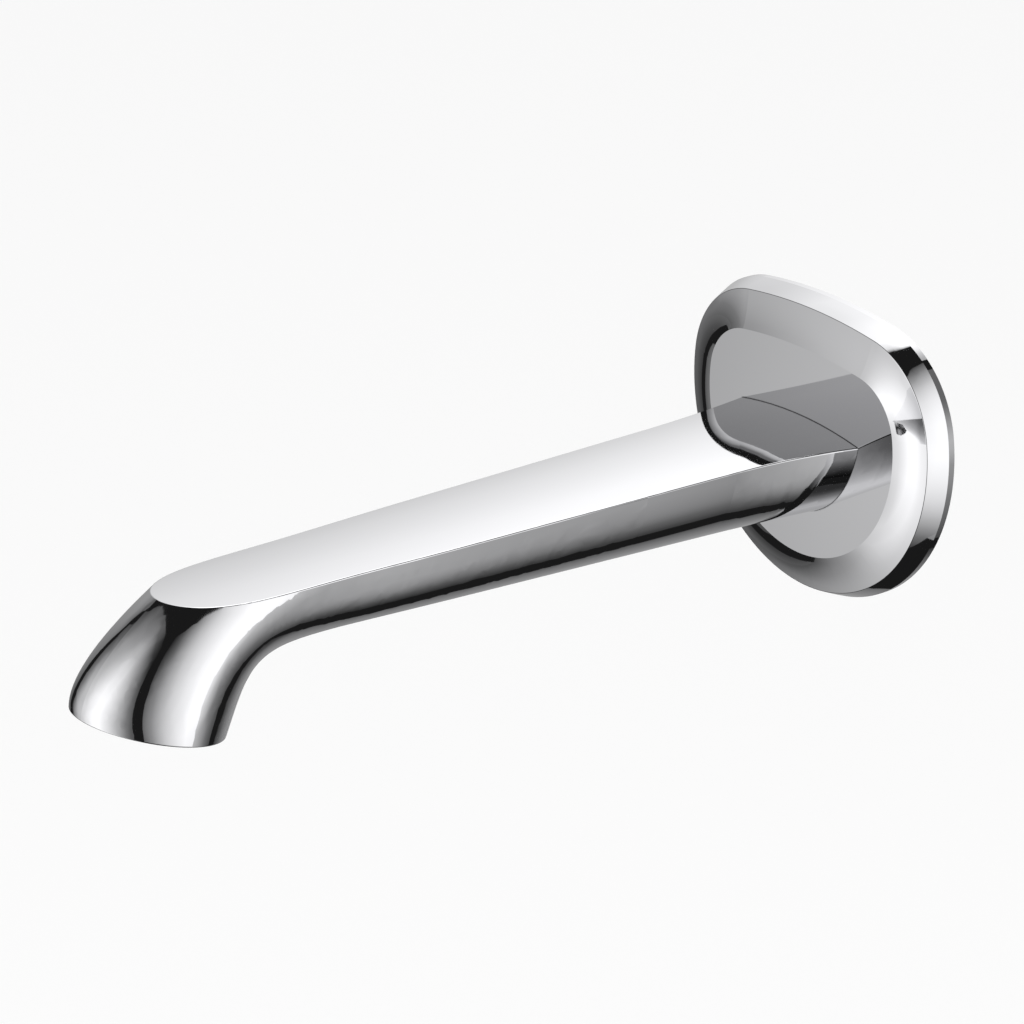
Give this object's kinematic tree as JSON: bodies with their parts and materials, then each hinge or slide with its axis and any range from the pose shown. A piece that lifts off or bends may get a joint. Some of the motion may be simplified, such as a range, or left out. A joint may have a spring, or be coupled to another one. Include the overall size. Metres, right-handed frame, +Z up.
{
  "type": "bath spout",
  "caption": "Chromed wall-mounted bath spout: tapered body with a crowned flat top, nose bent down to a round outlet with a flush aerator, soft shield wall flange, threaded inlet nipple",
  "frame": {"origin": "on the inlet axis, in the plane of the finished wall, where the nipple's thread starts", "axes": "+Y into the wall along the inlet thread, spout reaches out along -Y, +Z up, +X to the right as seen from the room"},
  "size_m": [0.0958, 0.2397, 0.0793],
  "materials": {
    "chrome_plate": "polished brass casting, bright nickel and chromium plated",
    "bare_brass": "turned brass, not plated",
    "seal_rubber": "moulded black nitrile rubber",
    "white_plastic": "moulded acetal, natural white",
    "steel": "stainless steel"
  },
  "bodies": {
    "root": {"spout_body": "chrome_plate", "wall_flange": "chrome_plate", "flange_gasket": "seal_rubber", "inlet_nipple": "bare_brass", "nipple_ring_rear": "seal_rubber", "nipple_ring_front": "seal_rubber", "grub_screw": "steel", "aerator_housing": "chrome_plate", "aerator_insert": "white_plastic", "aerator_disc": "white_plastic", "aerator_screen": "steel", "aerator_washer": "seal_rubber"}
  },
  "joints": []
}
